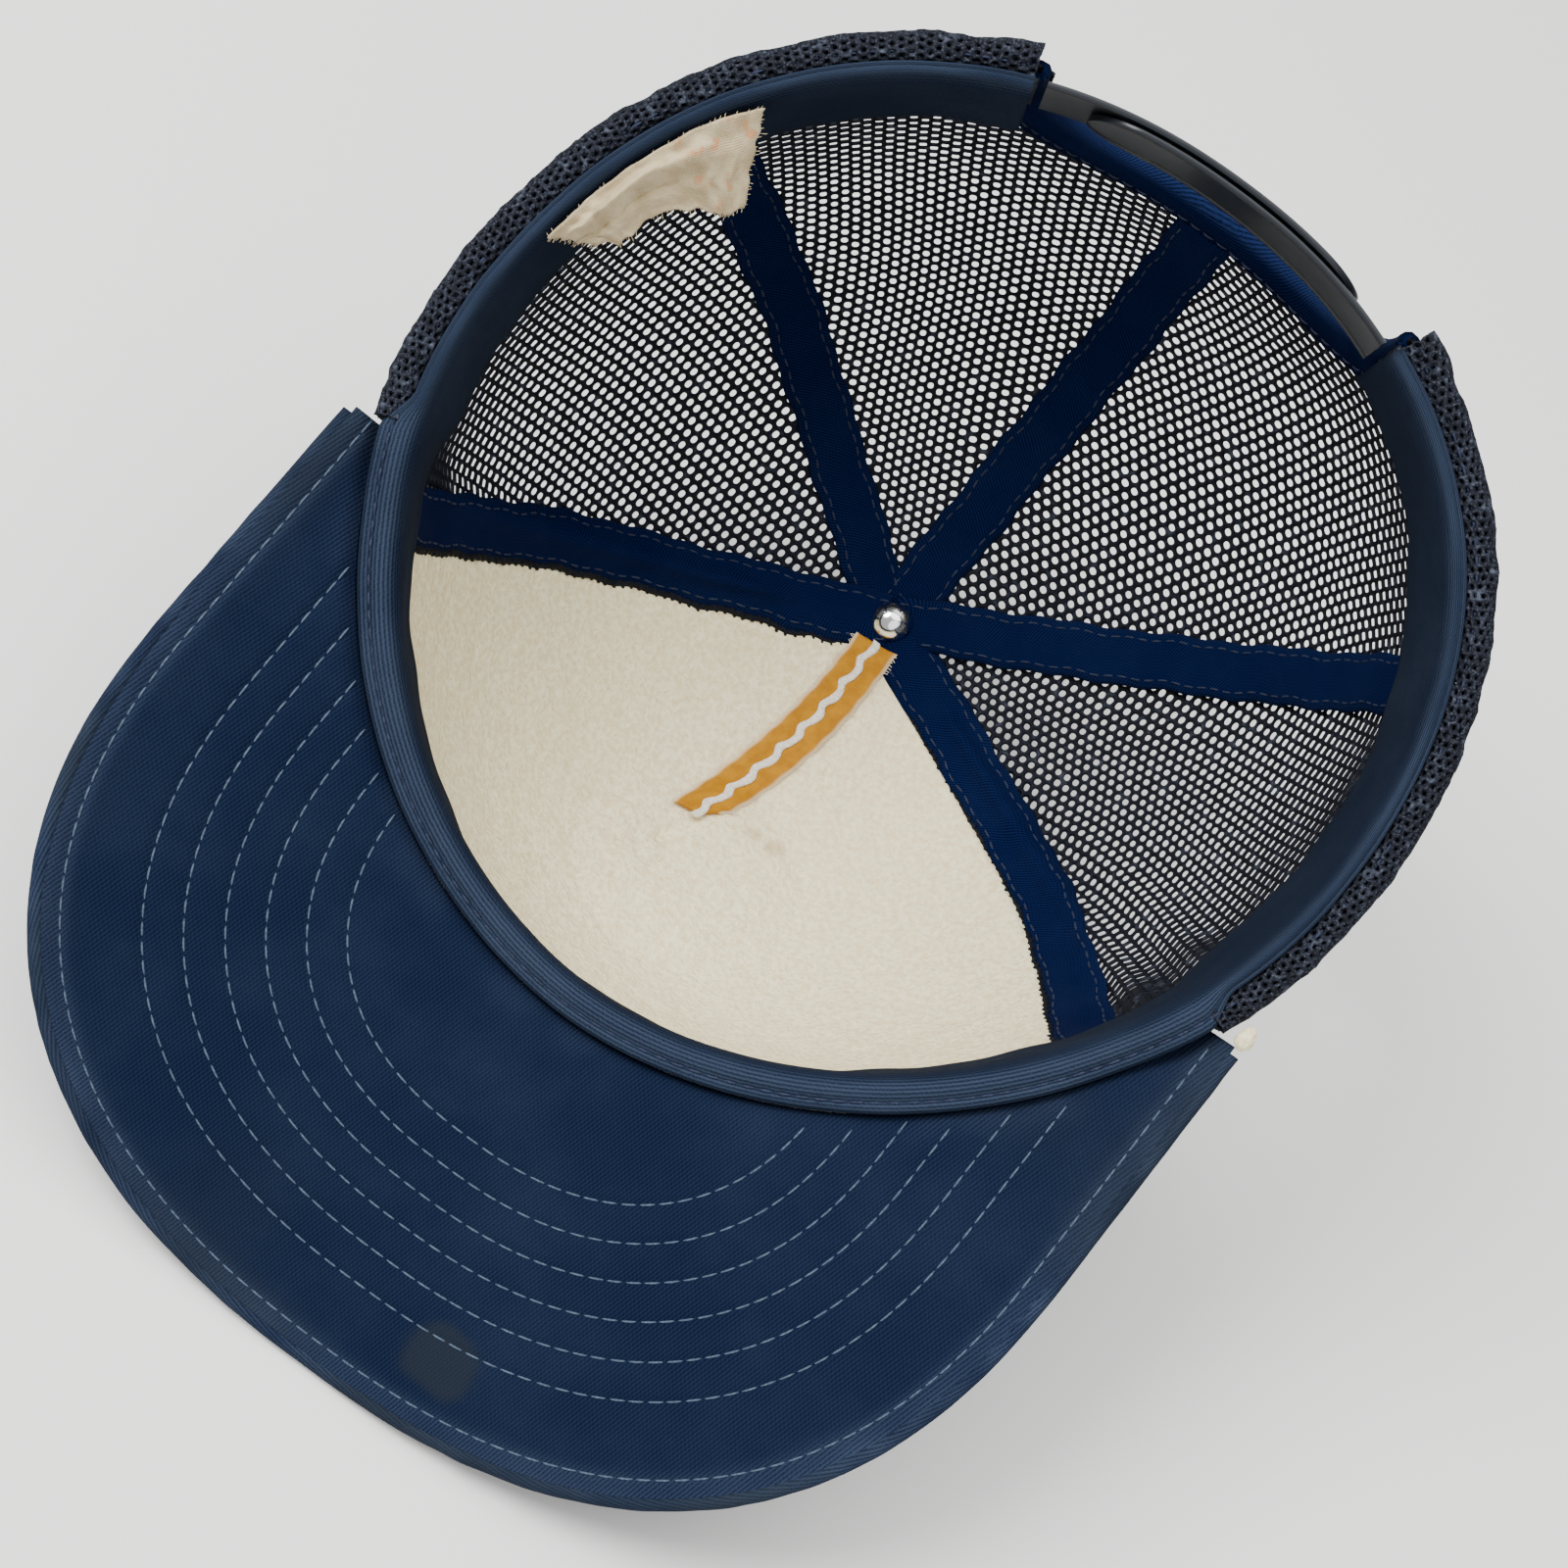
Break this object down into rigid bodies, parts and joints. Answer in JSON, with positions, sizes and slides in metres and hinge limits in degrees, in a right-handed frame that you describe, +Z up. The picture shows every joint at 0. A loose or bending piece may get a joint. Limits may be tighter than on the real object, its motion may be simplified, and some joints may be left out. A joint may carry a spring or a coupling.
{
  "type": "trucker cap",
  "caption": "Snapback trucker cap with foam-lined front panel, mesh side and back panels, stitched brim and plastic snap strap, resting upside down on its crown and brim tip.",
  "frame": {"origin": "bottom centre of the bounding box of the cap as it rests: upside down, tipped forwards onto the shoulder of its front panel and the tip of its brim, with the head opening facing up and forwards", "axes": "+Z up from the surface it rests on; -Y towards the brim, along the cap's length; +X towards the wearer's right. The cap's own axis, out of the head opening, is (0, -0.624, 0.782), tipped forwards by 38.6 degrees."},
  "size_m": [0.186, 0.2376, 0.1642],
  "materials": {
    "navy_twill": "matte",
    "navy_mesh": "matte",
    "cream_fleece": "matte",
    "gold_tape": "matte",
    "white_thread": "matte",
    "label_cloth": "matte",
    "board": "matte",
    "black_plastic": "satin",
    "rivet_chrome": "polished"
  },
  "bodies": {
    "cap": {"front_panel": "navy_twill", "front_foam": "cream_fleece", "mesh_panel_side_left": "navy_mesh", "mesh_panel_side_right": "navy_mesh", "mesh_panel_back_left": "navy_mesh", "mesh_panel_back_right": "navy_mesh", "seam_tape_front_left": "navy_twill", "seam_tape_front_right": "navy_twill", "seam_tape_side_left": "navy_twill", "seam_tape_side_right": "navy_twill", "seam_tape_back": "navy_twill", "dart_tape": "gold_tape", "dart_cord": "white_thread", "sweatband": "navy_twill", "hem_left": "navy_mesh", "hem_right": "navy_mesh", "torn_label": "label_cloth", "brim_under_cover": "navy_twill", "brim_board": "board", "brim_top_cover": "navy_twill", "brim_edge_roll": "navy_twill", "arch_binding": "navy_twill", "strap_tab_left": "black_plastic", "strap_tab_right": "black_plastic", "top_button": "navy_twill", "button_rivet": "rivet_chrome"},
    "hole_strap": {"hole_strap": "black_plastic"},
    "peg_strap": {"peg_strap": "black_plastic"}
  },
  "joints": [
    {"name": "hole_strap_swing", "type": "hinge", "parent": "cap", "child": "hole_strap", "pos_m": [-0.0362, 0.0842, 0.1519], "axis": [0, -0.6239, 0.7815], "range_deg": [0, 50], "stiffness_Nm_per_rad": 0.05},
    {"name": "peg_strap_swing", "type": "hinge", "parent": "cap", "child": "peg_strap", "pos_m": [0.0356, 0.0831, 0.1509], "axis": [0, -0.6239, 0.7815], "range_deg": [0, 35], "stiffness_Nm_per_rad": 0.05}
  ]
}
